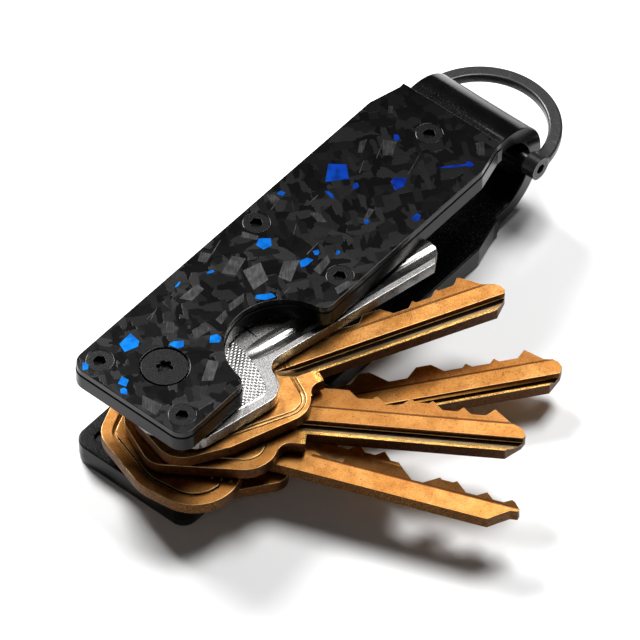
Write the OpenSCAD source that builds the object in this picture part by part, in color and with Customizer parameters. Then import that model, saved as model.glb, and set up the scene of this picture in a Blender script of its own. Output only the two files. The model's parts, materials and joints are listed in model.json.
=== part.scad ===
// Compact key organiser: a U-shaped metal chassis with two thin covers, a pivot
// that carries five keys between friction washers, and a swinging key ring.
// The origin is on the pivot axis, at the outer face of the bottom cover.
// +X runs from the pivot to the ring, +Z points up through the top cover.

/* [Case] */
// Half of the case's width
case_half_w = 11; // [10:0.5:13]
// Distance from the pivot to the front edge
front_reach = 8.5; // [8:0.5:10]
// Distance from the pivot to the centre of the back bend
bend_x = 66.9; // [64:0.5:75]
// Radius of the rounded front corners
corner_r = 2.5; // [1.5:0.5:4]
// Thickness of each chassis plate
plate_t = 2.8; // [2:0.1:3.5]
// Half of the plates' width at their back end
plate_end_half_w = 9.6; // [9.2:0.1:9.8]
// Half of the width of the strap that bends around the back
strap_half_w = 8.8; // [8.3:0.1:8.9]
// Where the plates start to narrow towards the back
taper_start_x = 59; // [57:0.5:61]
// Where the plates have narrowed to their back end
taper_end_x = 64.4; // [63:0.2:65.2]

/* [Covers] */
// Thickness of each cover
cover_t = 1.1; // [1:0.05:1.5]
// How far the cover's outline stays inside the chassis outline
cover_inset = 0.15; // [0.1:0.05:0.4]
// Where the cover ends at the back
cover_end_x = 65.4; // [64.8:0.2:66.4]

/* [Finger notch] */
// Radius of the notch in the edge of the plates
notch_r = 8.5; // [7:0.5:9]
// Distance from the pivot to the notch centre, along the case
notch_x = 14.2; // [13.5:0.5:16]
// Distance from the middle line to the notch centre
notch_y = 10.4; // [10:0.2:12]
// Radius that rounds the notch into the straight edge
notch_fillet_r = 2.2; // [1.5:0.1:2.6]

/* [Keys and washers] */
// Thickness of a key
key_t = 2; // [1.8:0.1:2.4]
// Thickness of a friction washer
washer_t = 0.5; // [0.4:0.05:0.8]
// Gap on each side of a key
side_gap = 0.025; // [0.01:0.005:0.04]
// Radius of the pivot barrel
barrel_r = 2.5; // [2.2:0.1:2.8]
// Radial clearance between the barrel and the bore of a key
key_clearance = 0.06; // [0.03:0.01:0.1]
// Outer radius of a friction washer
washer_r = 5.5; // [4.5:0.5:6.5]

/* [Screws] */
// Head radius of a cover screw
screw_head_r = 2; // [1.8:0.05:2.1]
// Thread radius of a cover screw
screw_r = 1; // [0.9:0.05:1.1]
// Across-flats size of a cover screw's hex socket
screw_hex_af = 1.7; // [1.3:0.1:1.8]
// Head radius of the pivot screw and of the pivot barrel
pivot_head_r = 3.4; // [3:0.1:3.6]
// Radial gap around the pivot heads in the covers
pivot_head_gap = 0.25; // [0.15:0.05:0.4]

/* [Ring] */
// Radius of the ring at the middle of its bar
ring_r = 11.1; // [11:0.1:12]
// Radial width of the ring's bar
ring_bar_w = 2.2; // [1.6:0.1:2.3]
// Height of the ring's bar
ring_bar_h = 1.7; // [1.5:0.1:2.4]
// Length of the straight arms between the pin and the curve
ring_arm = 1.1; // [0.9:0.1:2]
// Angle of the ring from level, negative when it droops
ring_tilt = -1; // [-20:1:20]
// Radius of the eyes at the ring's ends
eye_r = 1.9; // [1.8:0.1:2.1]
// Radius of the ring pin
ring_pin_r = 1.4; // [1.2:0.1:1.5]

/* [Hidden] */
$fn = 96;
eps = 0.01;
arc_step = 6;

key_count = 5;
layer = key_t + washer_t + 2 * side_gap;
gap_h = key_count * layer + washer_t;
floor_z = cover_t + plate_t;
ceiling_z = floor_z + gap_h;
deck_z = ceiling_z + plate_t;
total_h = deck_z + cover_t;
mid_z = total_h / 2;
bend_outer_r = mid_z - cover_t;
bend_inner_r = gap_h / 2;

// Cover screws: two at the front corners, two at mid length, one at the back
screw_spots = [[-5.2, 7.85], [-5.2, -7.85], [29.6, 8], [29.6, -8], [59.9, 0]];
screw_head_h = 1;
screw_sink = 0.06;
screw_depth = 2.4;
thread_gap = 0.02;
pivot_head_h = cover_t - 0.06;
pivot_bore_r = 1.6;
pivot_thread_r = 1.55;
lobe_count = 6;
lobe_reach = 1.25;
lobe_depth = 0.8;

// The pin hangs inside the bend, against its inner wall
pin_x = bend_x + 4.9;
pin_z = mid_z + 1.4;
pin_hex_af = 1.5;

// Blade milling, shared by the keys
ledge_depth = 0.22;
way_depth = 1;
way_from_spine = 0.45;
blade_tip = [[2.7, 0], [0.5, 2.1], [0, 3.1], [0.3, 4.1], [1, 4.8], [2.2, 5.3]];
blunt_tip = [[3.9, 0], [1.2, 2.5], [0.1, 2.7], [0, 3.3], [1, 4.6], [2.2, 5.3]];
contour_depth = 0.1;

function layer_z(i) = floor_z + washer_t + side_gap + (key_count - 1 - i) * layer;

// ---- Case ----

// Points on an arc around c, from angle a0 to angle a1
function arc(c, r, a0, a1) =
    let (steps = ceil(abs(a1 - a0) / arc_step))
    [for (i = [0:steps]) c + r * [cos(a0 + (a1 - a0) * i / steps), sin(a0 + (a1 - a0) * i / steps)]];

// The finger notch: a circle whose lips are rounded into the straight edge
function notch_points(inset) =
    let (lip_y = notch_fillet_r - case_half_w,
         lip_x = sqrt(pow(notch_r + notch_fillet_r, 2) - pow(lip_y + notch_y, 2)),
         lean = atan2(-notch_y - lip_y, lip_x),
         lip_r = notch_fillet_r - inset)
    concat(arc([notch_x - lip_x, lip_y], lip_r, -90, lean),
           arc([notch_x, -notch_y], notch_r + inset, 180 + lean, -lean),
           arc([notch_x + lip_x, lip_y], lip_r, 180 - lean, 270));

// Outline of a plate in the XY plane, up to end_x, drawn in by inset
module plate_outline(end_x, inset) {
    half = case_half_w - inset;
    end_half = plate_end_half_w - inset;
    corner_x = corner_r - front_reach;
    corner_y = case_half_w - corner_r;
    polygon(concat(arc([corner_x, -corner_y], corner_r - inset, 180, 270),
                   notch_points(inset),
                   [[taper_start_x, -half], [taper_end_x, -end_half], [end_x, -end_half],
                    [end_x, end_half], [taper_end_x, end_half], [taper_start_x, half]],
                   arc([corner_x, corner_y], corner_r - inset, 90, 180)));
}

module screw_holes(r, z, h) {
    for (p = screw_spots) translate([p[0], p[1], z]) cylinder(r = r, h = h);
}

module chassis() {
    color("#1d1d20") difference() {
        union() {
            for (z = [cover_t, ceiling_z]) translate([0, 0, z]) linear_extrude(plate_t) {
                plate_outline(cover_end_x + 0.2, 0);
                translate([taper_end_x, -strap_half_w]) square([bend_x - taper_end_x, 2 * strap_half_w]);
            }
            translate([bend_x, 0, mid_z]) rotate([90, 0, 0]) rotate([0, 0, -90])
                rotate_extrude(angle = 180, $fn = 128)
                    translate([bend_inner_r, -strap_half_w])
                        square([bend_outer_r - bend_inner_r, 2 * strap_half_w]);
        }
        screw_holes(screw_r, cover_t - eps, plate_t + 2 * eps);
        screw_holes(screw_r, ceiling_z - eps, plate_t + 2 * eps);
        translate([0, 0, cover_t - eps]) cylinder(r = barrel_r + thread_gap, h = plate_t + 2 * eps);
        translate([0, 0, ceiling_z - eps]) cylinder(r = pivot_thread_r + 0.1, h = plate_t + 2 * eps);
    }
}

// A cover with its outer face up at z = cover_t
module cover() {
    difference() {
        linear_extrude(cover_t) plate_outline(cover_end_x, cover_inset);
        screw_holes(screw_r + 0.1, -eps, cover_t + 2 * eps);
        for (p = screw_spots)
            translate([p[0], p[1], cover_t - screw_sink - screw_head_h])
                cylinder(r1 = screw_r + thread_gap, r2 = screw_head_r + thread_gap, h = screw_head_h);
        for (p = screw_spots)
            translate([p[0], p[1], cover_t - screw_sink])
                cylinder(r = screw_head_r + thread_gap, h = screw_sink + eps);
        translate([0, 0, -eps])
            cylinder(r = pivot_head_r + pivot_head_gap, h = cover_t + 2 * eps);
    }
}

module top_cover() {
    color("#2b2c2e") translate([0, 0, deck_z]) cover();
}

module bottom_cover() {
    color("#2b2c2e") translate([0, 0, cover_t]) mirror([0, 0, 1]) cover();
}

// ---- Fasteners ----

// A countersunk screw with its head's top face at z = 0 and its thread down
module cover_screw() {
    difference() {
        union() {
            translate([0, 0, -screw_head_h]) cylinder(r1 = screw_r, r2 = screw_head_r, h = screw_head_h);
            translate([0, 0, -screw_head_h - screw_depth]) cylinder(r = screw_r - thread_gap, h = screw_depth + eps);
        }
        translate([0, 0, -0.9]) cylinder(r = screw_hex_af / sqrt(3), h = 1, $fn = 6);
    }
}

module screw_set() {
    for (p = screw_spots) translate([p[0], p[1], 0]) cover_screw();
}

module top_cover_screws() {
    color("#161618") translate([0, 0, total_h - screw_sink]) screw_set();
}

module bottom_cover_screws() {
    color("#161618") translate([0, 0, screw_sink]) mirror([0, 0, 1]) screw_set();
}

// Six-lobe driver recess, cut down from z = 0
module lobe_recess(r, depth) {
    translate([0, 0, -depth]) cylinder(r = 0.72 * r, h = depth + eps, $fn = 24);
    for (i = [0:lobe_count - 1])
        rotate([0, 0, i * 360 / lobe_count]) translate([0.7 * r, 0, -depth])
            cylinder(r = 0.3 * r, h = depth + eps, $fn = 24);
}

module pivot_barrel() {
    color("#202022") difference() {
        union() {
            translate([0, 0, cover_t - pivot_head_h]) cylinder(r = pivot_head_r, h = pivot_head_h);
            translate([0, 0, cover_t - eps]) cylinder(r = barrel_r, h = ceiling_z - cover_t + eps);
        }
        translate([0, 0, floor_z]) cylinder(r = pivot_bore_r, h = gap_h + eps);
        mirror([0, 0, 1]) translate([0, 0, pivot_head_h - cover_t]) lobe_recess(lobe_reach, lobe_depth);
    }
}

module pivot_screw() {
    color("#202022") difference() {
        union() {
            translate([0, 0, deck_z]) cylinder(r = pivot_head_r, h = pivot_head_h);
            translate([0, 0, ceiling_z - 7]) cylinder(r = pivot_thread_r, h = 7 + plate_t + eps);
        }
        translate([0, 0, deck_z + pivot_head_h]) lobe_recess(lobe_reach, lobe_depth);
    }
}

// Washer number i, counted from the bottom of the stack
module pivot_washer(i) {
    color("#c8a85a") translate([0, 0, floor_z + i * layer]) difference() {
        cylinder(r = washer_r, h = washer_t);
        translate([0, 0, -eps]) cylinder(r = barrel_r, h = washer_t + 2 * eps);
    }
}

// ---- Keys ----

// The bow: pairs of rounded corners, each [x, half height, corner radius]
module bow_outline(corners, inset) {
    hull() for (c = corners, side = [-1, 1])
        translate([c[0], side * c[1]]) circle(c[2] - inset, $fn = 40);
}

// A thin line cut into a face at z = 0, inset from the outline
module contour_line(corners, inset, width) {
    translate([0, 0, -contour_depth]) linear_extrude(1) difference() {
        bow_outline(corners, inset);
        bow_outline(corners, inset + width);
    }
}

// Blade outline; spine is its lower edge, at y = spine, and tip cuts its end
module blade_outline(length, spine, width, tip) {
    top = spine + width;
    polygon(concat([[0, spine]],
                   [for (t = tip) [length - t[0], spine + t[1]]],
                   [[length - width + 3.1, top], [0, top]]));
}

// Trapezoid notches in the upper edge, one for each cut depth
module bitting(first, pitch, flat, top, depths) {
    for (i = [0:len(depths) - 1])
        translate([first + i * pitch, top - depths[i]])
            polygon([[-flat / 2, 0], [flat / 2, 0], [flat / 2 + 8, 8], [-flat / 2 - 8, 8]]);
}

// Neck between bow and blade, with a hollow fillet at each side of the bow
module neck_outline(bow_face, shoulder_x, low, high, fillet) {
    translate([0, low]) square([shoulder_x, high - low]);
    for (side = [[low, -1], [high, 1]])
        translate([bow_face - 1, side[0]]) scale([1, side[1]]) difference() {
            translate([0, -eps]) square([fillet + 1, fillet + eps]);
            translate([fillet + 1, fillet]) circle(fillet, $fn = 48);
        }
}

// A long cut in a face at z = 0, made by a wheel, so that its near end runs out in a curve.
// profile gives the cut's [y, depth] across the blade, and deepest is its greatest depth
module milled_cut(start, span, wheel_r, deepest, profile) {
    run_out = sqrt(2 * wheel_r * deepest);
    first_y = profile[0][0];
    last_y = profile[len(profile) - 1][0];
    translate([start + run_out, 0, 0]) rotate([90, 0, 90]) linear_extrude(span)
        polygon(concat([[first_y, 1]], [for (p = profile) [p[0], -p[1]]], [[last_y, 1]]));
    translate([start + run_out, 0, wheel_r - deepest]) rotate([-90, 0, 0]) rotate_extrude($fn = 128)
        polygon(concat([[0, first_y]],
                       [for (p = profile) [wheel_r - deepest + p[1], p[0]]],
                       [[0, last_y]]));
}

// The two cuts of a house key's blade: a deep way along the spine and a shallow ledge above
module blade_milling(way_start, length, spine, way_wall, ledge) {
    milled_cut(way_start, length - way_start, 10, way_depth,
               [[spine + way_from_spine, 0.25], [spine + way_wall - 0.8, way_depth],
                [spine + way_wall, way_depth]]);
    milled_cut(way_start - 4, length - way_start + 4, 10, ledge_depth,
               [[spine + ledge, ledge_depth], [spine + ledge + 8, ledge_depth]]);
}

module key_bore() {
    translate([0, 0, -eps]) cylinder(r = barrel_r + key_clearance, h = key_t + 2 * eps);
}

// Puts a key in its layer, counted from the top, and swings it out of the case
module in_layer(i, angle) {
    translate([0, 0, layer_z(i)]) rotate([0, 0, angle]) children();
}

module silver_key() {
    bow = [[-3.2, 3, 3.4], [-0.6, 7.8, 3.6], [10, 7.6, 3.9]];
    spine = -5.5;
    width = 8.8;
    groove_y = spine + 2.7;
    groove_half_w = 1.75;
    groove_depth = 0.75;
    color("#c9c8c6") in_layer(0, -11.8) difference() {
        linear_extrude(key_t) union() {
            bow_outline(bow, 0);
            blade_outline(48.2, spine, width, blade_tip);
            neck_outline(13.9, 17, spine, spine + width, 2.6);
        }
        translate([0, 0, key_t]) milled_cut(12, 38, 20, groove_depth,
            [for (t = [-1:0.25:1]) [groove_y + groove_half_w * t, groove_depth * (1 - t * t)]]);
        key_bore();
    }
}

module brass_key_1() {
    bow = [[-1.6, 2.5, 4], [-0.3, 7.3, 4.4], [5, 7, 5.3], [15, 6.8, 4.6]];
    contour = [[-1.6, 2.5, 2.2], [-0.3, 7.3, 2.6], [5, 7, 3.5], [15.4, 7.1, 3.4]];
    spine = -4.5;
    width = 8.6;
    color("#b27c33") in_layer(1, -25.4) difference() {
        linear_extrude(key_t) difference() {
            union() {
                bow_outline(bow, 0);
                blade_outline(53.8, spine, width, blade_tip);
                neck_outline(19.6, 22.3, spine - 1.9, spine + width + 1.9, 1.9);
            }
            bitting(26.4, 3.95, 2.4, spine + width, [1.6, 2.4, 1.2, 2.75, 2.2, 1.45]);
        }
        translate([0, 0, key_t]) {
            blade_milling(16.4, 53.8, spine, 2.5, 5.3);
            for (inset = [0, 0.55]) contour_line(contour, inset, 0.2);
        }
        key_bore();
    }
}

module brass_key_2() {
    bow = [[-2.2, 2, 3.6], [0.8, 6.9, 3.5], [12, 5.1, 5]];
    spine = -2.4;
    width = 9.1;
    color("#b27c33") in_layer(2, -55.9) difference() {
        linear_extrude(key_t) difference() {
            union() {
                bow_outline(bow, 0);
                blade_outline(52.2, spine, width, blade_tip);
                neck_outline(17, 20.8, spine - 1.9, spine + width + 1.9, 1.9);
            }
            bitting(28.5, 4.15, 2, spine + width, [1.4, 2.1, 1.2, 2.3, 2.6]);
        }
        translate([0, 0, key_t]) {
            blade_milling(14, 52.2, spine, 2.6, 5.3);
            contour_line(bow, 1.8, 0.2);
        }
        key_bore();
    }
}

// This key has no way: one broad sloped cut above a smooth strip leaves its teeth thinner
module brass_key_3() {
    bow = [[-4.1, 3.4, 4.4], [3.6, 6, 7.2], [6.8, 7, 7]];
    spine = -2.7;
    width = 8.8;
    color("#b27c33") in_layer(3, -68.2) difference() {
        linear_extrude(key_t) difference() {
            union() {
                bow_outline(bow, 0);
                blade_outline(53.5, spine, width, blunt_tip);
                neck_outline(13.8, 18, spine, spine + width, 2.2);
            }
            bitting(25.8, 4.05, 1.6, spine + width, [2.2, 2, 2.3, 5.1, 3.4, 4.8, 4.8]);
        }
        translate([0, 0, key_t]) {
            milled_cut(20.5, 34, 30, 0.65,
                       [[spine + 3.3, 0.14], [spine + 5.8, 0.65], [spine + 12, 0.65]]);
            translate([0, 0, contour_depth - 0.6]) intersection() {
                contour_line(bow, 1.65, 0.55);
                translate([-12, -16, -1]) cube([23.3, 32, 3]);
            }
            for (i = [0:2])
                translate([9.6 + 1.4 * i, -8.7 + 0.15 * i, -0.3]) rotate([0, 0, -10]) cube([0.35, 0.8, 1]);
        }
        key_bore();
    }
}

module brass_key_4() {
    bow = [[-3, 4, 4], [6, 8.8, 4.2], [13.4, 10.6, 2.4]];
    spine = -4;
    width = 8.6;
    color("#b27c33") in_layer(4, -36.6) difference() {
        linear_extrude(key_t) difference() {
            union() {
                bow_outline(bow, 0);
                blade_outline(59.4, spine, width, blade_tip);
                neck_outline(15.8, 21, spine - 1.9, spine + width + 1.9, 1.9);
            }
            bitting(26.9, 4.2, 2.7, spine + width, [1.6, 0, 2.4, 0.65, 2.25, 2.35, 2.3]);
        }
        translate([0, 0, key_t]) blade_milling(16, 59.4, spine, 1.9, 4.8);
        key_bore();
    }
}

// ---- Ring ----

// Everything on the ring is drawn level, with the pin's axis on the Y axis
module at_pin() {
    translate([pin_x, 0, pin_z]) rotate([0, -ring_tilt, 0]) children();
}

module key_ring() {
    half_w = ring_bar_w / 2;
    color("#2a2a2c") at_pin() difference() {
        union() {
            translate([ring_arm, 0, 0]) rotate([0, 0, -90]) rotate_extrude(angle = 180, $fn = 128)
                translate([ring_r - half_w, -ring_bar_h / 2]) square([ring_bar_w, ring_bar_h]);
            for (s = [-1, 1]) {
                translate([0, s * ring_r - half_w, -ring_bar_h / 2])
                    cube([ring_arm + eps, ring_bar_w, ring_bar_h]);
                translate([0, s * ring_r + half_w, 0]) rotate([90, 0, 0])
                    cylinder(r = eye_r, h = ring_bar_w);
            }
        }
        translate([0, ring_r + 2, 0]) rotate([90, 0, 0]) cylinder(r = ring_pin_r, h = 2 * ring_r + 4);
    }
}

module ring_pin() {
    reach = ring_r + ring_bar_w / 2;
    color("#202022") at_pin() difference() {
        translate([0, reach, 0]) rotate([90, 0, 0]) cylinder(r = ring_pin_r, h = 2 * reach);
        translate([0, 1.6 - reach, 0]) rotate([90, 0, 0])
            cylinder(r = pin_hex_af / sqrt(3), h = 2, $fn = 6);
    }
}

chassis();
top_cover();
bottom_cover();
top_cover_screws();
bottom_cover_screws();
pivot_barrel();
pivot_screw();
pivot_washer(0);  // pivot_washer_1
pivot_washer(1);  // pivot_washer_2
pivot_washer(2);  // pivot_washer_3
pivot_washer(3);  // pivot_washer_4
pivot_washer(4);  // pivot_washer_5
pivot_washer(5);  // pivot_washer_6
silver_key();
brass_key_1();
brass_key_2();
brass_key_3();
brass_key_4();
key_ring();
ring_pin();
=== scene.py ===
import json
import math
import random

import bmesh
import bpy
from mathutils import Matrix, Vector


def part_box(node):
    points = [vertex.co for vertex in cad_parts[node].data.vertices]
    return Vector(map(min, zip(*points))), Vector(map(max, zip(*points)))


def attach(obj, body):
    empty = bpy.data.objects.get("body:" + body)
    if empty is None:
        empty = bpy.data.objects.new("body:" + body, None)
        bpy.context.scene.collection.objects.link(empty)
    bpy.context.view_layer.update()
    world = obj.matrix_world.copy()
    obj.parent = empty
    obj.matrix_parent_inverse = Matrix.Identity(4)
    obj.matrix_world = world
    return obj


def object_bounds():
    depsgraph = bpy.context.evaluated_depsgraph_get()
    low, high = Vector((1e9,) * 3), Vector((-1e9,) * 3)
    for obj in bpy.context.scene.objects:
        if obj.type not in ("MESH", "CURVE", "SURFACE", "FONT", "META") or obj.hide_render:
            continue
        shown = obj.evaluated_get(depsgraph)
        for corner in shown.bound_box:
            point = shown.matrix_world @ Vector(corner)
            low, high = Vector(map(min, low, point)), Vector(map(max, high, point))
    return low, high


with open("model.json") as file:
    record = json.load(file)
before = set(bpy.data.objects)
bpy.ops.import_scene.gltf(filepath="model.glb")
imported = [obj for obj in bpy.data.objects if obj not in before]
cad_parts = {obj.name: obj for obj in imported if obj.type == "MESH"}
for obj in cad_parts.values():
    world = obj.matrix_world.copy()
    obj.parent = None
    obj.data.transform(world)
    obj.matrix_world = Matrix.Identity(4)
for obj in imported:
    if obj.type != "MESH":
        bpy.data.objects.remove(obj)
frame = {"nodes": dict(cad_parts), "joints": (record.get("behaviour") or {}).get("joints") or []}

cad_lo, cad_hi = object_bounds()
nodes = frame["nodes"]
MM = 0.001
DECK_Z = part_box("top_cover")[1].z
BELLY_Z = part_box("bottom_cover")[0].z
# Each key's turn at rest. Its joint's upper limit is the way back into the case.
KEY_ANGLES = {joint["child"]: math.radians(-joint["range_deg"][1])
              for joint in frame["joints"] if joint["child"] != "ring"}


# ---- Camera, floor and lights ----

# The camera's angles in degrees, then its lengths in metres. It aims at a point to the right of
# and above the pivot's top, as far as AIM_RIGHT and AIM_UP say.
AZIMUTH = -50.36
ELEVATION = 49.09
ROLL = 0.57
DISTANCE = 0.773
FRAME_WIDTH = 0.0918
AIM_RIGHT = 0.02229
AIM_UP = 0.00666
SENSOR_MM = 36

FLOOR_HALF = 3
FLOOR_GAP = 0.0001
FLOOR_WHITE = (0.9, 0.9, 0.9, 1)

WORLD_STRENGTH = 0.03
LIGHT_TARGET = (0.03, 0, 0)
# Each lamp's name, place, side of its square and power in watts
LAMPS = (("left_softbox", (0.115, 0.33, 0.32), 0.17, 3.3),
         ("top_softbox", (0.205, 0.01, 0.40), 0.17, 1.75),
         ("camera_fill", (-0.38, -0.26, 0.42), 0.3, 0.16))


def view_axes(azimuth, elevation, roll):
    """The camera's right, up and back directions."""
    a = math.radians(azimuth)
    e = math.radians(elevation)
    back = Vector((math.sin(a) * math.cos(e), -math.cos(a) * math.cos(e), math.sin(e)))
    right = Vector((math.cos(a), math.sin(a), 0))
    up = back.cross(right)
    c = math.cos(math.radians(roll))
    s = math.sin(math.radians(roll))
    return c * right + s * up, c * up - s * right, back


def make_camera():
    """A long lens that looks at the case from its front left, with the pivot left of the middle."""
    right, up, back = view_axes(AZIMUTH, ELEVATION, ROLL)
    aim = Vector((0, 0, DECK_Z)) + right * AIM_RIGHT + up * AIM_UP
    data = bpy.data.cameras.new("camera")
    data.sensor_width = SENSOR_MM
    data.lens = SENSOR_MM * DISTANCE / FRAME_WIDTH
    data.clip_end = 10
    cam = bpy.data.objects.new("camera", data)
    bpy.context.collection.objects.link(cam)
    turn = Matrix((right, up, back)).transposed().to_4x4()
    cam.matrix_world = Matrix.Translation(aim + back * DISTANCE) @ turn
    bpy.context.scene.camera = cam


def make_floor():
    """A plain white floor just under the case."""
    floor_z = cad_lo.z - FLOOR_GAP
    mesh = bpy.data.meshes.new("floor")
    corners = [(x * FLOOR_HALF, y * FLOOR_HALF, floor_z)
               for x, y in ((-1, -1), (1, -1), (1, 1), (-1, 1))]
    mesh.from_pydata(corners, [], [(0, 1, 2, 3)])
    floor = bpy.data.objects.new("floor", mesh)
    bpy.context.collection.objects.link(floor)
    mat = bpy.data.materials.new("floor_white")
    mat.use_nodes = True
    shader = mat.node_tree.nodes["Principled BSDF"]
    shader.inputs["Base Color"].default_value = FLOOR_WHITE
    shader.inputs["Roughness"].default_value = 0.5
    mesh.materials.append(mat)


def area_light(name, location, side, power):
    """A square lamp that points at the case."""
    data = bpy.data.lights.new(name, "AREA")
    data.shape = "RECTANGLE"
    data.size = side
    data.size_y = side
    data.energy = power
    lamp = bpy.data.objects.new(name, data)
    lamp.location = location
    aim = Vector(LIGHT_TARGET) - Vector(location)
    lamp.rotation_euler = aim.to_track_quat("-Z", "Y").to_euler()
    bpy.context.collection.objects.link(lamp)


def make_lights():
    """A softbox behind the case on the left, a steep one above its back for short shadows, and a
    weak fill beside the camera."""
    world = bpy.data.worlds.new("studio")
    world.use_nodes = True
    background = world.node_tree.nodes["Background"]
    background.inputs["Color"].default_value = (1, 1, 1, 1)
    background.inputs["Strength"].default_value = WORLD_STRENGTH
    bpy.context.scene.world = world
    for name, location, side, power in LAMPS:
        area_light(name, location, side, power)
    bpy.context.scene.view_settings.view_transform = "Standard"


# ---- Shader helpers ----

def add(tree, kind, inputs=None, **attributes):
    """Makes a shader node. An input's value may be a socket, which is linked."""
    made = tree.nodes.new("ShaderNode" + kind)
    for name, value in attributes.items():
        setattr(made, name, value)
    for name, value in (inputs or {}).items():
        if isinstance(value, bpy.types.NodeSocket):
            tree.links.new(value, made.inputs[name])
        else:
            made.inputs[name].default_value = value
    return made


def calc(tree, operation, a, b=0.0, c=0.0):
    """The result of a Math node."""
    return add(tree, "Math", {0: a, 1: b, 2: c}, operation=operation).outputs[0]


def times(tree, a, b):
    return calc(tree, "MULTIPLY", a, b)


def less(tree, value, taken):
    """What is left of value."""
    return calc(tree, "SUBTRACT", value, taken)


def vector_add(tree, vector, offset):
    return add(tree, "VectorMath", {0: vector, 1: offset}, operation="ADD").outputs[0]


def remap(tree, value, low, high, to_low=0.0, to_high=1.0):
    """Maps low..high to to_low..to_high with soft ends."""
    inputs = {"Value": value, "From Min": low, "From Max": high, "To Min": to_low, "To Max": to_high}
    return add(tree, "MapRange", inputs, interpolation_type="SMOOTHSTEP").outputs[0]


def blend(tree, factor, a, b):
    """A colour between a and b. Each of the three may be a socket."""
    a, b = (value if isinstance(value, bpy.types.NodeSocket) else (*value, 1) for value in (a, b))
    return add(tree, "Mix", {0: factor, 6: a, 7: b}, data_type="RGBA").outputs[2]


def choose(tree, factor, a, b):
    """A number between a and b. Each of the three may be a socket."""
    return add(tree, "Mix", {0: factor, 2: a, 3: b}, data_type="FLOAT").outputs[0]


def millimetres(tree, turn=0.0, stretch=(1, 1, 1)):
    """The object's own coordinates in millimetres, turned about Z and stretched."""
    place = add(tree, "TexCoord").outputs["Object"]
    turned = add(tree, "Mapping", {"Vector": place, "Rotation": (0, 0, -turn)}).outputs[0]
    scale = tuple(s / MM for s in stretch)
    return add(tree, "Mapping", {"Vector": turned, "Scale": scale}).outputs[0]


def along_x(tree, place):
    """How far back in the case a place is."""
    return add(tree, "SeparateXYZ", {0: place}).outputs["X"]


def noise(tree, vector, scale, detail=2.0, roughness=0.5):
    """Smooth noise from 0 to 1. Over a vector in millimetres, scale is in waves per millimetre."""
    inputs = {"Vector": vector, "Scale": scale, "Detail": detail, "Roughness": roughness}
    return add(tree, "TexNoise", inputs).outputs["Fac"]


def bump(tree, height, depth_mm):
    """A surface normal for a relief that is depth_mm high where height is 1."""
    inputs = {"Height": height, "Distance": depth_mm * MM, "Strength": 1.0}
    return add(tree, "Bump", inputs).outputs[0]


def normal_z(tree):
    """The surface normal's Z in the object's own frame: 1 faces up, 0 is a wall, -1 faces down."""
    normal = add(tree, "TexCoord").outputs["Normal"]
    return add(tree, "SeparateXYZ", {0: normal}).outputs["Z"]


def flatness(tree):
    """How far the surface faces straight up or down, from 0 to 1."""
    return calc(tree, "ABSOLUTE", normal_z(tree))


def material(name, **constants):
    """A material, its node tree and its main shader, with values that are the same all over. In
    the sockets' names an underscore stands for a space."""
    mat = bpy.data.materials.new(name)
    mat.use_nodes = True
    tree = mat.node_tree
    shader = tree.nodes["Principled BSDF"]
    for socket, value in constants.items():
        shader.inputs[socket.replace("_", " ")].default_value = value
    return mat, tree, shader


def connect(tree, shader, **sockets):
    """Links values that vary over the surface to the main shader."""
    for name, socket in sockets.items():
        tree.links.new(socket, shader.inputs[name.replace("_", " ")])


def scaled(colour, factor):
    """The same colour, brighter or darker."""
    return tuple(factor * value for value in colour)


# ---- Materials ----

# Colours are linear RGB
CARBON_DARK = (0.0008, 0.0008, 0.0008)
CARBON_PALE = (0.016, 0.0156, 0.0156)
CHIP_DARK = (0.0015, 0.0015, 0.0015)
CHIP_PALE = (0.060, 0.058, 0.060)
ANODISED_DARK = (0.0008, 0.0008, 0.0009)
ANODISED_PALE = (0.0024, 0.0024, 0.0026)
# Painted glints on the plates' broad faces
ANODISED_GLINT = (0.035, 0.035, 0.035)
BRONZE_DARK = (0.34, 0.2, 0.08)
BRONZE_PALE = (0.5, 0.32, 0.14)
NICKEL_PALE = (0.44, 0.43, 0.42)
NICKEL_MID = (0.32, 0.312, 0.304)
NICKEL_PIT = (0.16, 0.145, 0.13)
BRASS_PALE = (0.54, 0.262, 0.078)
BRASS_MID = (0.42, 0.182, 0.045)
BRASS_SAND = (0.24, 0.088, 0.018)
BRASS_PATINA = (0.17, 0.062, 0.012)
BRASS_LEDGE = (0.15, 0.045, 0.010)
BRASS_LIP_DARK = (0.18, 0.068, 0.012)
BRASS_LIP_PALE = (0.95, 0.54, 0.13)
# Grime and painted shade in the ways
BRASS_GRIME_AND_SHADE = (0.006, 0.002, 0.001)
# A dark line of painted shade along the ledge step
BRASS_STEP_SHADE = (0.05, 0.012, 0.004)
# Rims lightened by wear and a painted highlight
BRASS_WEAR_AND_HIGHLIGHT = (0.95, 0.70, 0.36)
BRASS_DOT = (0.035, 0.011, 0.003)
# Darker copies of the brass for the walls, painted shade
SHADED_SMOOTH_WALL_DARK = (0.035, 0.011, 0.003)
SHADED_SMOOTH_WALL_PALE = (0.10, 0.034, 0.009)
SHADED_ROUGH_WALL_DARK = (0.02, 0.007, 0.002)
SHADED_ROUGH_WALL_PALE = (0.30, 0.14, 0.04)
FRONT_BLUE_DARK = (0.0, 0.09, 0.36)
FRONT_BLUE_PALE = (0.001, 0.17, 0.60)
# The back blues are darker copies of the front ones, painted shade
BACK_SHADED_BLUE_DARK = (0.0, 0.007, 0.09)
BACK_SHADED_BLUE_PALE = (0.001, 0.018, 0.20)

LACQUER_SPECULAR = 0.3
ANODISED_SPECULAR = 0.2
FLAKE_SPECULAR = 0.12

# Four layers of chips, from the one beneath up: turn in radians, chip width in millimetres,
# length to width, pattern offset, and the share of the layer that is left open
CHIP_LAYERS = ((0.4, 2.6, 1.3, 3.1, 0.0), (1.5, 2.0, 1.7, 11.7, 0.5), (2.5, 1.5, 2.2, 23.3, 0.66),
               (0.9, 1.0, 2.6, 41.9, 0.78))

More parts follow.
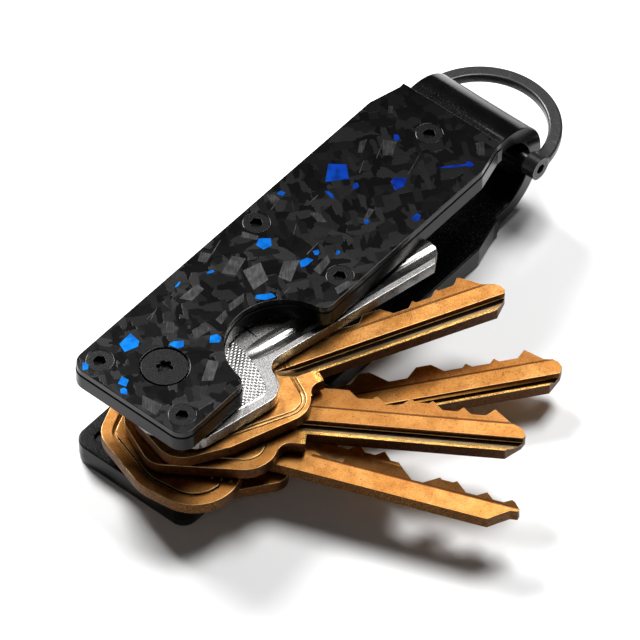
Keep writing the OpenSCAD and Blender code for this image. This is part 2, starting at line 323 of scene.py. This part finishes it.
# For each brass key, in millimetres in its own frame: where the ledge starts along the blade,
# the height of its step, where the lip below the way starts and its height, then how bright
# the face is and how rough the walls are, from 0 to 1
BRASS_LOOKS = ((14.5, 0.8, 21.5, -2.55, 1.15, 0.12), (12.0, 2.9, 20.0, -0.35, 0.72, 0.1),
               (22.0, 0.6, 60.0, -4.0, 0.8, 0.85), (14.0, 0.8, 21.0, -2.65, 0.9, 0.3))
# How the zones of a brass key begin, in millimetres. The depths are below its face, from none
# of the zone's colour to all of it. The painted shade line's width along the ledge step is from
# its middle, from all to none.
LEDGE_DEPTHS = (0.06, 0.16)
# The ways are darkened by grime and painted shade.
WAY_DEPTHS = (0.74, 0.94)
STEP_SHADE_WIDTH = (0.16, 0.34)
ZONE_SOFT = 0.5
LIP_SOFT = 0.1


def chip_layer(tree, turn, size, stretch, offset):
    """Flat chips with bent edges. Gives two random numbers for each chip."""
    place = millimetres(tree, turn, (1 / (size * stretch), 1 / size, 0.02))
    shifted = vector_add(tree, place, (offset, -offset, 0))
    wobble = add(tree, "TexNoise", {"Vector": shifted, "Scale": 1.6, "Detail": 3.0}).outputs["Color"]
    bend = {0: wobble, 1: (0.16, 0.16, 0), 2: shifted}
    bent = add(tree, "VectorMath", bend, operation="MULTIPLY_ADD").outputs[0]
    cell_inputs = {"Vector": bent, "Scale": 1.0, "Randomness": 0.9}
    cell = add(tree, "TexVoronoi", cell_inputs, distance="CHEBYCHEV")
    split = add(tree, "SeparateColor", {0: cell.outputs["Color"]})
    return split.outputs[0], split.outputs[1]


def fibres(tree, chip_turn):
    """Fine parallel streaks, whose direction changes from chip to chip."""
    angle = times(tree, chip_turn, 2 * math.pi)
    turn_inputs = {"Vector": millimetres(tree), "Angle": angle}
    turned = add(tree, "VectorRotate", turn_inputs, rotation_type="Z_AXIS").outputs[0]
    flat = add(tree, "VectorMath", {0: turned, 1: (0.25, 5.0, 0.1)}, operation="MULTIPLY").outputs[0]
    return noise(tree, flat, 1.0, 3.0, 0.6)


def forged_carbon():
    """Overlapping chips of black fibre under satin lacquer, darkened towards the back of the case by
    painted shade.
    """
    mat, tree, shader = material("forged_carbon_look", Specular_IOR_Level=LACQUER_SPECULAR)
    shade = None
    angle = None
    for turn, size, stretch, offset, left_open in CHIP_LAYERS:
        first, second = chip_layer(tree, turn, size, stretch, offset)
        if shade is None:
            shade = second
            angle = first
            continue
        shown = calc(tree, "GREATER_THAN", first, left_open)
        shade = choose(tree, shown, shade, second)
        own_turn = calc(tree, "FRACT", times(tree, first, 7.3))
        angle = choose(tree, shown, angle, own_turn)
    streak = fibres(tree, angle)
    level = calc(tree, "POWER", shade, 3.0)
    grained = times(tree, level, remap(tree, streak, 0.3, 0.75, 0.7, 1.3))
    x = along_x(tree, millimetres(tree))
    # Painted shade: the chips darken towards the back of the case.
    back_shaded = times(tree, grained, remap(tree, x, 15.0, 55.0, 1.0, 0.3))
    tilt = calc(tree, "ADD", times(tree, shade, 0.6), times(tree, streak, 0.2))
    connect(tree, shader, Base_Color=blend(tree, back_shaded, CARBON_DARK, CARBON_PALE),
            Roughness=remap(tree, shade, 0.0, 1.0, 0.16, 0.22),
            Normal=bump(tree, tilt, 0.004))
    return mat


def black_anodised():
    """Satin black, with a bead-blasted grain, and bright specks on the plates' broad faces that are
    painted glints.
    """
    mat, tree, shader = material("black_anodised_look", Specular_IOR_Level=ANODISED_SPECULAR)
    place = millimetres(tree)
    grain = noise(tree, place, 4.0, 2.0, 0.6)
    glitter = noise(tree, place, 7.0, 1.0)
    cloud = noise(tree, place, 0.25, 3.0)
    broad = remap(tree, flatness(tree), 0.97, 0.998)
    colour = blend(tree, cloud, ANODISED_DARK, ANODISED_PALE)
    # Painted glints: bright specks on the broad faces.
    glint_specks = times(tree, remap(tree, glitter, 0.60, 0.74), broad)
    height = times(tree, grain, remap(tree, broad, 0.0, 1.0, 0.06, 1.0))
    connect(tree, shader, Base_Color=blend(tree, glint_specks, colour, ANODISED_GLINT),
            Roughness=remap(tree, cloud, 0.3, 0.7, 0.17, 0.23),
            Normal=bump(tree, height, 0.02))
    return mat


def black_steel(name, dark, pale, roughness):
    """Black oxide or coated steel with a fine grain, between two grey levels."""
    mat, tree, shader = material(name, Metallic=0.6)
    place = millimetres(tree)
    cloud = noise(tree, place, 0.7, 3.0)
    grain = noise(tree, place, 7.0, 2.0, 0.6)
    connect(tree, shader, Base_Color=blend(tree, cloud, (dark,) * 3, (pale,) * 3),
            Roughness=remap(tree, grain, 0.3, 0.7, roughness - 0.05, roughness + 0.07),
            Normal=bump(tree, grain, 0.008))
    return mat


def bronze():
    """Ground bronze for the washers."""
    mat, tree, shader = material("bronze_look", Metallic=1.0)
    place = millimetres(tree)
    cloud = noise(tree, place, 1.2, 3.0)
    connect(tree, shader, Base_Color=blend(tree, cloud, BRONZE_DARK, BRONZE_PALE),
            Roughness=remap(tree, cloud, 0.3, 0.7, 0.3, 0.5),
            Normal=bump(tree, noise(tree, place, 9.0), 0.01))
    return mat


def nickel_silver(name, turn, brush, bright):
    """Pitted nickel silver. brush is how strong the marks along the key are, from 0 to 1."""
    mat, tree, shader = material(name, Metallic=1.0)
    place = millimetres(tree)
    brushed = noise(tree, millimetres(tree, turn, (0.15, 4.0, 2.0)), 1.0, 3.0, 0.6)
    grain = noise(tree, place, 6.0, 2.0, 0.6)
    cloud = noise(tree, place, 0.5, 3.0)
    pits = remap(tree, noise(tree, place, 5.0, 2.0), 0.66, 0.76)
    colour = blend(tree, cloud, scaled(NICKEL_MID, bright), scaled(NICKEL_PALE, bright))
    pitted = blend(tree, times(tree, pits, 0.7), colour, NICKEL_PIT)
    relief = calc(tree, "ADD", times(tree, brushed, brush), times(tree, grain, 0.25))
    connect(tree, shader, Base_Color=pitted,
            Roughness=remap(tree, grain, 0.3, 0.7, 0.24, 0.34),
            Normal=bump(tree, relief, 0.010))
    return mat


def aged_brass(name, turn, shift, top_z, look):
    """Worn brass: a sandy satin face with patina and dark specks, a duller ledge with a dark line of
    painted shade along its step, a rough bright lip, ways darkened by grime and painted shade, rims
    lightened by wear and a painted highlight, and walls in darker copies of the brass for painted
    shade. turn is the key's at rest, shift moves the pattern in millimetres and top_z is its face's
    height in metres."""
    ledge_u, ledge_w, lip_u, lip_w, bright, wall_grain = look
    mat, tree, shader = material(name, Metallic=1.0)
    own = millimetres(tree)
    key_place = add(tree, "SeparateXYZ", {0: millimetres(tree, turn)})
    u = key_place.outputs["X"]
    w = key_place.outputs["Y"]
    depth = less(tree, top_z / MM, add(tree, "SeparateXYZ", {0: own}).outputs["Z"])

    # Masks for the zones of the key, from 0 to 1
    up = remap(tree, normal_z(tree), 0.2, 0.6)
    flat = flatness(tree)
    upright = remap(tree, flat, 0.2, 0.55, 1.0, 0.0)
    rim = times(tree, remap(tree, flat, 0.985, 0.92), less(tree, 1.0, upright))
    ledge = times(tree, up, remap(tree, depth, *LEDGE_DEPTHS))
    # Grime and painted shade darken the deep ways.
    grime_and_shade = times(tree, up, remap(tree, depth, *WAY_DEPTHS))
    on_blade = remap(tree, u, ledge_u - ZONE_SOFT, ledge_u + ZONE_SOFT)
    from_line = calc(tree, "ABSOLUTE", less(tree, w, ledge_w))
    # Painted shade: a dark line along the ledge's step.
    step_shade = times(tree, on_blade, remap(tree, from_line, *STEP_SHADE_WIDTH, 1.0, 0.0))
    past_bow = remap(tree, u, lip_u - ZONE_SOFT, lip_u + ZONE_SOFT)
    lip = times(tree, past_bow, remap(tree, w, lip_w + LIP_SOFT, lip_w - LIP_SOFT))
    # Wear and a painted highlight lighten the rims.
    wear_and_highlight = times(tree, rim, less(tree, 0.85, times(tree, lip, 0.4)))

    place = vector_add(tree, own, (shift, shift, shift))
    cloud = noise(tree, place, 0.20, 4.0, 0.6)
    patina = remap(tree, noise(tree, place, 0.45, 4.0, 0.65), 0.42, 0.66)
    grain = noise(tree, place, 4.0, 3.0, 0.7)
    fine = noise(tree, place, 8.0, 2.0, 0.6)
    dots = remap(tree, noise(tree, place, 4.4, 1.0), 0.62, 0.70)
    smear = noise(tree, place, 1.5, 3.0, 0.6)

    mid = scaled(BRASS_MID, bright)
    pale = scaled(BRASS_PALE, bright)
    face = blend(tree, remap(tree, cloud, 0.35, 0.65), mid, pale)
    sandy = blend(tree, remap(tree, grain, 0.38, 0.70, 0.0, 0.6), face, BRASS_SAND)
    aged = blend(tree, times(tree, patina, 0.45), sandy, BRASS_PATINA)
    ledged = blend(tree, times(tree, ledge, 0.35), aged, BRASS_LEDGE)
    rough_lip = blend(tree, remap(tree, fine, 0.45, 0.58), BRASS_LIP_DARK, BRASS_LIP_PALE)
    lipped = blend(tree, lip, ledged, rough_lip)
    grimed_and_shaded = blend(tree, grime_and_shade, lipped, BRASS_GRIME_AND_SHADE)
    step_shaded = blend(tree, times(tree, step_shade, 0.9), grimed_and_shaded, BRASS_STEP_SHADE)
    rims_lightened = blend(tree, wear_and_highlight, step_shaded, BRASS_WEAR_AND_HIGHLIGHT)
    # Painted shade: the walls take darker copies of the brass.
    shaded_smooth_wall = blend(tree, remap(tree, smear, 0.3, 0.7), SHADED_SMOOTH_WALL_DARK, SHADED_SMOOTH_WALL_PALE)
    shaded_rough_wall = blend(tree, remap(tree, fine, 0.45, 0.62), SHADED_ROUGH_WALL_DARK, SHADED_ROUGH_WALL_PALE)
    walls_shaded = blend(tree, upright, rims_lightened, blend(tree, wall_grain, shaded_smooth_wall, shaded_rough_wall))
    dotted = blend(tree, times(tree, dots, 0.6), walls_shaded, BRASS_DOT)

    rough = calc(tree, "ADD", remap(tree, grain, 0.3, 0.7, 0.28, 0.38), times(tree, upright, 0.10))
    coarseness = calc(tree, "ADD", times(tree, upright, 1.5 * wall_grain), times(tree, lip, 3.5))
    height = calc(tree, "ADD", times(tree, grain, 0.4), times(tree, fine, coarseness))
    metal = less(tree, 1.0, times(tree, lip, 0.14))
    connect(tree, shader, Base_Color=dotted, Metallic=metal, Roughness=rough,
            Normal=bump(tree, height, 0.025))
    return mat


def flake_blue():
    """Dyed glass flakes, darkened from the front of the case to the back by painted shade."""
    mat, tree, shader = material("flake_blue_look", Roughness=0.2, Specular_IOR_Level=FLAKE_SPECULAR)
    place = millimetres(tree)
    # Painted shade: the flakes darken from the front of the case to the back.
    back = remap(tree, along_x(tree, place), 8.0, 52.0)
    veins = remap(tree, noise(tree, place, 0.7, 2.0, 0.5), 0.30, 0.62)
    front_colour = blend(tree, veins, FRONT_BLUE_DARK, FRONT_BLUE_PALE)
    shaded_back_colour = blend(tree, veins, BACK_SHADED_BLUE_DARK, BACK_SHADED_BLUE_PALE)
    connect(tree, shader, Base_Color=blend(tree, back, front_colour, shaded_back_colour))
    return mat


def chip_grey():
    """Single pale chips with fibre streaks, darkened towards the back of the case by painted
    shade. Each chip's brightness is its faces' "shade" attribute."""
    mat, tree, shader = material("chip_grey_look", Specular_IOR_Level=LACQUER_SPECULAR)
    place = millimetres(tree)
    shade = add(tree, "Attribute", attribute_name="shade").outputs["Fac"]
    streak = noise(tree, millimetres(tree, math.radians(38), (0.3, 5.0, 1.0)), 1.0, 3.0, 0.6)
    cloud = noise(tree, place, 0.8, 3.0, 0.6)
    level = times(tree, shade, remap(tree, streak, 0.3, 0.7, 0.85, 1.1))
    # Painted shade: the chips darken towards the back of the case.
    back_shaded = times(tree, level, remap(tree, along_x(tree, place), 25.0, 60.0, 1.0, 0.35))
    clouded = times(tree, back_shaded, remap(tree, cloud, 0.35, 0.65, 0.45, 1.15))
    connect(tree, shader, Base_Color=blend(tree, clouded, CHIP_DARK, CHIP_PALE),
            Roughness=remap(tree, streak, 0.3, 0.7, 0.2, 0.3))
    return mat


# ---- Chips in the covers ----

# Where the underside's chips keep out, in millimetres seen from above: a strip along the edge,
# and circles around the screws, the pivot and the finger notch
COVER_EDGE = 0.45
SCREW_SPOTS = ((-5.2, 7.85), (-5.2, -7.85), (29.6, 8), (29.6, -8), (59.9, 0))
SCREW_REACH = 2.1
PIVOT_REACH = 3.8
NOTCH_SPOT = (14.2, -10.4)
NOTCH_REACH = 8.7
# The cover's tapered back: its half width at TAIL_X, and what that gains per millimetre forward
TAIL_X = 62.0
TAIL_HALF = 9.4
TAIL_SLOPE = 0.3

# A chip stands CHIP_PROUD above its cover, and CHIP_LIFT more than the one before it, so that
# no two outer faces share a plane
CHIP_PROUD = 0.012 * MM
CHIP_SUNK = 0.05 * MM
CHIP_LIFT = 0.0004 * MM
# In millimetres, and the brightness of every sliver
SLIVER_WIDTH = 0.16
SLIVER_SHADE = 0.8

# A chip's outline is a box or a polygon, turned by up to OUTLINE_TURN degrees. Each corner then
# slips round by up to CORNER_SLIP radians, and its reach is scaled by a number in CORNER_SCALE.
# The reaches are from the chip's middle, in parts of its length or width.
OUTLINE_TURN = 12
CORNER_SLIP = 0.35
CORNER_SCALE = (0.75, 1.2)
BOX_REACH = 0.62
POLYGON_REACH = 0.54
# What clear_of_edges allows for a chip, in parts of its length
CHIP_REACH = 0.6
CHIP_SEED = 5

# Blue flakes on top: x, y, length, width, turn in degrees
FLAKES = ((0.2, 6.7, 3.2, 2.8, 20), (4.3, 1.5, 2.4, 1.5, -35), (-5.9, 2.8, 1.9, 1.6, 10),
          (-7.2, 1.4, 1.4, 1.0, 60), (-7.4, 8.6, 1.5, 1.0, 45), (8.6, -2.3, 1.9, 1.7, 5),
          (19.3, -2.3, 3.0, 1.2, -35), (13.0, 8.8, 1.1, 0.4, 10), (18.0, 6.8, 1.2, 0.6, -20),
          (45.0, 5.3, 4.8, 3.4, 30), (44.6, 1.5, 1.3, 1.1, 0), (40.9, 3.3, 1.9, 0.6, 80),
          (36.4, 8.9, 1.2, 0.9, 15), (56.1, 3.2, 1.3, 0.9, 40), (49.4, -2.9, 3.0, 2.1, 15),
          (57.2, -7.1, 4.2, 0.5, -41), (58.9, -8.5, 1.3, 1.2, -20), (45.6, -9.3, 1.8, 1.3, 0),
          (40.2, -4.2, 1.2, 0.8, 30), (27.3, 4.4, 2.5, 2.1, 50), (28.3, -2.5, 2.6, 1.5, -10),
          (30.9, -2.5, 1.1, 0.9, 0), (32.9, -4.9, 0.9, 0.7, 20))
# The palest carbon chips on top: x, y, length, width, turn in degrees, shade
PALE_CHIPS = ((3.5, -5.7, 4.2, 2.7, 21, 0.75), (-6.7, -3.5, 3.4, 2.8, -80, 0.5),
              (8.5, 0.5, 3.3, 2.1, -18, 0.4), (6.0, 4.0, 2.5, 1.8, 8, 0.35),
              (21.7, 1.2, 4.4, 3.8, -22, 0.9), (25.6, -1.4, 4.4, 2.6, 22, 0.75),
              (21.0, 5.0, 4.0, 2.3, 0, 0.6), (13.4, 6.2, 4.2, 2.1, -3, 0.7),
              (19.5, 9.2, 2.4, 1.7, 11, 0.5), (15.8, 0.0, 3.2, 1.5, 2, 0.45),
              (12.3, -0.3, 3.0, 1.0, 9, 0.4), (6.3, 4.5, 1.9, 1.5, -51, 0.3),
              (36.2, 1.5, 3.1, 1.2, 79, 0.5), (27.0, 6.9, 2.6, 1.3, -71, 0.5),
              (34.9, 9.2, 1.8, 1.2, 80, 0.45), (29.3, -4.7, 4.2, 1.6, 10, 0.5),
              (28.6, -9.9, 3.4, 1.4, -13, 0.6), (51.5, 6.1, 2.8, 1.1, 27, 0.6),
              (53.8, 2.8, 4.0, 1.9, 32, 0.65), (41.7, -3.4, 3.2, 1.2, 15, 0.45),
              (62.3, -8.0, 2.6, 1.5, 45, 0.5), (59.8, 7.5, 2.0, 0.8, 36, 0.5))
# Thin edges of chips that stand on end, on top: x, y, length, turn in degrees
SLIVERS = ((6.0, 7.9, 2.8, 4), (-1.7, -9.3, 3.4, -10), (22.0, 9.3, 2.9, 16), (32.4, 2.9, 2.8, 29),
           (38.8, 4.6, 2.6, 2), (33.9, 8.2, 2.6, 12), (30.8, -1.6, 2.8, 4), (22.4, -4.0, 2.3, 6),
           (6.3, 7.7, 2.6, 20), (53.4, -2.3, 4.6, 17), (52.4, 3.4, 3.9, 23), (48.1, 3.3, 3.1, 24),
           (57.9, -3.2, 2.1, -35))

# The underside's chips are placed at random within these limits. Their width is in parts of
# their length.
BELLY_X = (-8, 65)
BELLY_Y = (-10.5, 10.5)
BELLY_WIDTH = (0.4, 0.8)
BELLY_SHADE = (0.35, 0.8)
BELLY_FLAKES = 22
BELLY_FLAKE_LENGTH = (1.0, 3.2)
BELLY_PALE_CHIPS = 26
BELLY_PALE_LENGTH = (1.8, 4.2)


def clear_of_edges(x, y, reach):
    """Whether a chip of this reach keeps inside the cover and off the screws, pivot and notch."""
    cover_lo, cover_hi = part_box("top_cover")
    hi = cover_hi / MM
    lo = cover_lo / MM
    edge = reach + COVER_EDGE
    half = min(hi.y, TAIL_HALF + max(0.0, TAIL_X - x) * TAIL_SLOPE)
    inside = lo.x + edge < x < hi.x - edge and abs(y) < half - edge
    off_screws = all(math.dist((x, y), spot) > SCREW_REACH + reach for spot in SCREW_SPOTS)
    off_notch = math.dist((x, y), NOTCH_SPOT) > NOTCH_REACH + reach
    return inside and off_screws and off_notch and math.hypot(x, y) > PIVOT_REACH + reach


def chip_outline(rng, length, width, turn, corners):
    """A broken chip: the corners of a box or a polygon, each moved a little."""
    start = math.radians(rng.uniform(-OUTLINE_TURN, OUTLINE_TURN)) + math.pi / corners
    full_reach = BOX_REACH if corners == 4 else POLYGON_REACH
    c = math.cos(math.radians(turn))
    s = math.sin(math.radians(turn))
    outline = []
    for i in range(corners):
        angle = start + 2 * math.pi * i / corners + rng.uniform(-CORNER_SLIP, CORNER_SLIP)
        reach = rng.uniform(*CORNER_SCALE) * full_reach
        u = reach * length * math.cos(angle)
        w = reach * width * math.sin(angle)
        outline.append((u * c - w * s, u * s + w * c))
    return outline


def add_chip(bm, shades, outline, x, y, z_range, shade):
    """A thin plate of this outline around x, y, with its shade on every face."""
    low, high = ([bm.verts.new(((x + u) * MM, (y + w) * MM, z)) for u, w in outline] for z in z_range)
    faces = [bm.faces.new(high), bm.faces.new(list(reversed(low)))]
    for i in range(len(outline)):
        j = (i + 1) % len(outline)
        faces.append(bm.faces.new((low[i], low[j], high[j], high[i])))
    for face in faces:
        face[shades] = shade


def mesh_object(name, mesh, mat):
    """Makes an object of one finish."""
    mesh.materials.append(mat)
    obj = bpy.data.objects.new(name, mesh)
    bpy.context.collection.objects.link(obj)
    return obj


def chip_object(name, chips, z_range, mat):
    """One object for many chips, each given as (outline, x, y, shade)."""
    mesh = bpy.data.meshes.new(name)
    bm = bmesh.new()
    shades = bm.faces.layers.float.new("shade")
    low, high = z_range
    outward = 1 if high > DECK_Z else -1
    for i, (outline, x, y, shade) in enumerate(chips):
        lift = outward * i * CHIP_LIFT
        add_chip(bm, shades, outline, x, y, (low + lift, high + lift), shade)
    bmesh.ops.recalc_face_normals(bm, faces=bm.faces)
    bm.to_mesh(mesh)
    bm.free()
    obj = mesh_object(name, mesh, mat)
    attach(obj, "case")


def scattered_chips(rng, count, lengths, corners):
    """Chips at random places on a cover, clear of its edges and holes."""
    chips = []
    while len(chips) < count:
        x = rng.uniform(*BELLY_X)
        y = rng.uniform(*BELLY_Y)
        length = rng.uniform(*lengths)
        if clear_of_edges(x, y, CHIP_REACH * length):
            width = length * rng.uniform(*BELLY_WIDTH)
            outline = chip_outline(rng, length, width, rng.uniform(-90, 90), corners)
            chips.append((outline, x, y, rng.uniform(*BELLY_SHADE)))
    return chips


def dress_covers():
    """Sets the blue flakes and the palest chips into both covers, and the slivers into the top one."""
    rng = random.Random(CHIP_SEED)
    blue = flake_blue()
    grey = chip_grey()
    top = (DECK_Z - CHIP_SUNK, DECK_Z + CHIP_PROUD)
    sliver_top = (top[0], top[1] + CHIP_PROUD / 2)
    belly = (BELLY_Z - CHIP_PROUD, BELLY_Z + CHIP_SUNK)
    flakes = [(chip_outline(rng, length, width, turn, rng.choice((4, 5, 5))), x, y, 1.0)
              for x, y, length, width, turn in FLAKES]
    pale = [(chip_outline(rng, length, width, turn, 4), x, y, shade)
            for x, y, length, width, turn, shade in PALE_CHIPS]
    slivers = [(chip_outline(rng, length, SLIVER_WIDTH, turn, 4), x, y, SLIVER_SHADE)
               for x, y, length, turn in SLIVERS]
    chip_object("top_flakes", flakes, top, blue)
    chip_object("top_pale_chips", pale, top, grey)
    chip_object("top_slivers", slivers, sliver_top, grey)
    belly_flakes = scattered_chips(rng, BELLY_FLAKES, BELLY_FLAKE_LENGTH, 5)
    belly_pale = scattered_chips(rng, BELLY_PALE_CHIPS, BELLY_PALE_LENGTH, 4)
    chip_object("belly_flakes", belly_flakes, belly, blue)
    chip_object("belly_pale_chips", belly_pale, belly, grey)


# ---- Knurled bow ----

# In millimetres: the grid's step, the ridges' pitch and height, how wide they fade out at the
# field's edge, how far the field is sunk into the bow and how wide the pivot's boss is kept clear
KNURL_STEP = 0.1
KNURL_PITCH = 0.56
KNURL_HEIGHT = 0.09
KNURL_FADE = 0.4
KNURL_SINK = 0.004
PIVOT_CLEAR = 5.8
# How far the rows wander, in parts of the pitch, and how much of a ridge's height a valley cuts
KNURL_WANDER = 0.24
VALLEY_CUT = 0.9

# The field in millimetres: its ends along the key and the most its half height can be, then its
# outline, which has a nearly straight part between two rounded ends
FIELD_START = -6
FIELD_END = 13.2
FIELD_HALF = 10.6
STRAIGHT_START = -0.6
STRAIGHT_END = 9.8
START_HALF = 9.9
START_ROUND = 5.4
HALF_SLOPE = 0.04
END_HALF = 10.3
END_ROUND = 3.3


def smooth(value):
    """Eases from 0 to 1 and stays there."""
    t = min(1.0, max(0.0, value))
    return t * t * (3 - 2 * t)


def bow_half_height(u):
    """Half of the knurled field's height across the key, at a distance u along it."""
    if u < STRAIGHT_START:
        return START_HALF * math.sqrt(max(0.0, 1 - ((u - STRAIGHT_START) / START_ROUND) ** 2))
    if u > STRAIGHT_END:
        return END_HALF * math.sqrt(max(0.0, 1 - ((u - STRAIGHT_END) / END_ROUND) ** 2))
    return START_HALF + HALF_SLOPE * u


def knurl_height(u, w, room):
    """Wavy rows of small ridges along one diagonal, which fade where the field's edge is near."""
    a = (u - w) / math.sqrt(2)
    b = (u + w) / math.sqrt(2)
    wander = KNURL_WANDER * math.sin(2 * math.pi * a / KNURL_PITCH)
    valley = 0.5 + 0.5 * math.sin(2 * math.pi * (b / KNURL_PITCH + wander))
    return KNURL_HEIGHT * smooth(room / KNURL_FADE) * (1 - VALLEY_CUT * valley ** 3) - KNURL_SINK


def knurl():
    """The skin of small ridges on the silver key's bow, around its pivot boss."""
    turn = KEY_ANGLES["silver_key"]
    top_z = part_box("silver_key")[1].z
    mesh = bpy.data.meshes.new("bow_knurl")
    bm = bmesh.new()
    grid = {}
    columns = range(int(FIELD_START / KNURL_STEP), int(FIELD_END / KNURL_STEP))
    rows = range(int(-FIELD_HALF / KNURL_STEP), int(FIELD_HALF / KNURL_STEP))
    for i in columns:
        for j in rows:
            u = i * KNURL_STEP
            w = j * KNURL_STEP
            room = min(bow_half_height(u) - abs(w), math.hypot(u, w) - PIVOT_CLEAR)
            if room < 0:
                continue
            x = u * math.cos(turn) - w * math.sin(turn)
            y = u * math.sin(turn) + w * math.cos(turn)
            grid[i, j] = bm.verts.new((x * MM, y * MM, top_z + knurl_height(u, w, room) * MM))
    for (i, j), corner in grid.items():
        ring = [corner] + [grid.get(spot) for spot in ((i + 1, j), (i + 1, j + 1), (i, j + 1))]
        if all(ring):
            face = bm.faces.new(ring)
            face.smooth = True
    bm.to_mesh(mesh)
    bm.free()
    return mesh


# ---- CAD nodes: softened edges and finishes ----

# How wide the edges are rounded, and how near two corners are when they are joined, in millimetres
CHASSIS_ROUND = 0.25
COVER_ROUND = 0.10
FASTENER_ROUND = 0.05
KEY_ROUND = 0.10
RING_ROUND = 0.42
WELD_REACH = 0.002
# How far behind the pin's middle the ring's eye ends and its bar starts, in millimetres
RING_EYE_REACH = 2.2
# Moves the brass pattern from key to key, in millimetres, so that no two keys look alike
BRASS_SHIFT = 17.0


def soften(name, width_mm, segments=2, limit=50, flatten=False):
    """Joins the mesh, merges its flat faces if asked and rounds its edges that turn by more than
    limit degrees. Gives the modifier that rounds them."""
    obj = nodes[name]
    weld = obj.modifiers.new("weld", "WELD")
    weld.merge_threshold = WELD_REACH * MM
    if flatten:
        flat = obj.modifiers.new("flat", "DECIMATE")
        flat.decimate_type = "DISSOLVE"
        flat.angle_limit = math.radians(1)
    edge = obj.modifiers.new("edge", "BEVEL")
    edge.width = width_mm * MM
    edge.segments = segments
    edge.limit_method = "ANGLE"
    edge.angle_limit = math.radians(limit)
    edge.use_clamp_overlap = False
    edge.harden_normals = True
    edge.miter_outer = "MITER_ARC"
    return edge


def soften_ring():
    """Rounds the ring's bar only, since the eyes around the pin keep their turned edges. The
    bar's sharp edges are split in the CAD mesh, so each of them has one face."""
    edge = soften("key_ring", RING_ROUND, segments=4)
    mesh = nodes["key_ring"].data
    eye_lo, eye_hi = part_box("ring_pin")
    bar_start = (eye_lo.x + eye_hi.x) / 2 + RING_EYE_REACH * MM
    faces_at = [0] * len(mesh.edges)
    for loop in mesh.loops:
        faces_at[loop.edge_index] += 1
    weights = []
    for side in mesh.edges:
        on_bar = min(mesh.vertices[i].co.x for i in side.vertices) > bar_start
        weights.append(1.0 if on_bar and faces_at[side.index] == 1 else 0.0)
    layer = mesh.attributes.new("bevel_weight_edge", "FLOAT", "EDGE")
    layer.data.foreach_set("value", weights)
    edge.limit_method = "WEIGHT"


def finish_node(name, mat):
    """Gives one finish to the whole of a CAD node."""
    for slot in nodes[name].material_slots:
        slot.link = "OBJECT"
        slot.material = mat


def dress_case():
    """The case's anodised chassis, carbon covers and bronze washers, and every black fastener."""
    carbon = forged_carbon()
    oxide = black_steel("black_oxide_look", dark=0.004, pale=0.009, roughness=0.24)
    washers = bronze()
    finish_node("chassis", black_anodised())
    soften("chassis", CHASSIS_ROUND, segments=3, limit=30, flatten=True)
    for name in ("top_cover", "bottom_cover"):
        finish_node(name, carbon)
        soften(name, COVER_ROUND, limit=60)
    for name in ("top_cover_screws", "bottom_cover_screws", "pivot_barrel", "pivot_screw", "ring_pin"):
        finish_node(name, oxide)
        soften(name, FASTENER_ROUND, limit=60)
    for i in range(1, 7):
        finish_node(f"pivot_washer_{i}", washers)


def dress_ring():
    """The ring's bar in satin black steel. Its pin is one of the fasteners."""
    finish_node("key_ring", black_steel("ring_look", dark=0.028, pale=0.05, roughness=0.30))
    soften_ring()


def dress_silver_key():
    """The nickel key and the knurled skin on its bow, which is duller."""
    turn = KEY_ANGLES["silver_key"]
    finish_node("silver_key", nickel_silver("nickel_look", turn, brush=0.6, bright=0.85))
    soften("silver_key", KEY_ROUND)
    obj = mesh_object("bow_knurl", knurl(), nickel_silver("knurl_look", turn, brush=0.0, bright=0.55))
    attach(obj, "silver_key")


def dress_brass_keys():
    """The four brass keys, each with its own look."""
    for i, look in enumerate(BRASS_LOOKS, 1):
        key = f"brass_key_{i}"
        top_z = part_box(key)[1].z
        brass = aged_brass(f"aged_brass_look_{i}", KEY_ANGLES[key], BRASS_SHIFT * i, top_z, look)
        finish_node(key, brass)
        soften(key, KEY_ROUND)


make_camera()
make_floor()
make_lights()
dress_case()
dress_ring()
dress_silver_key()
dress_brass_keys()
dress_covers()
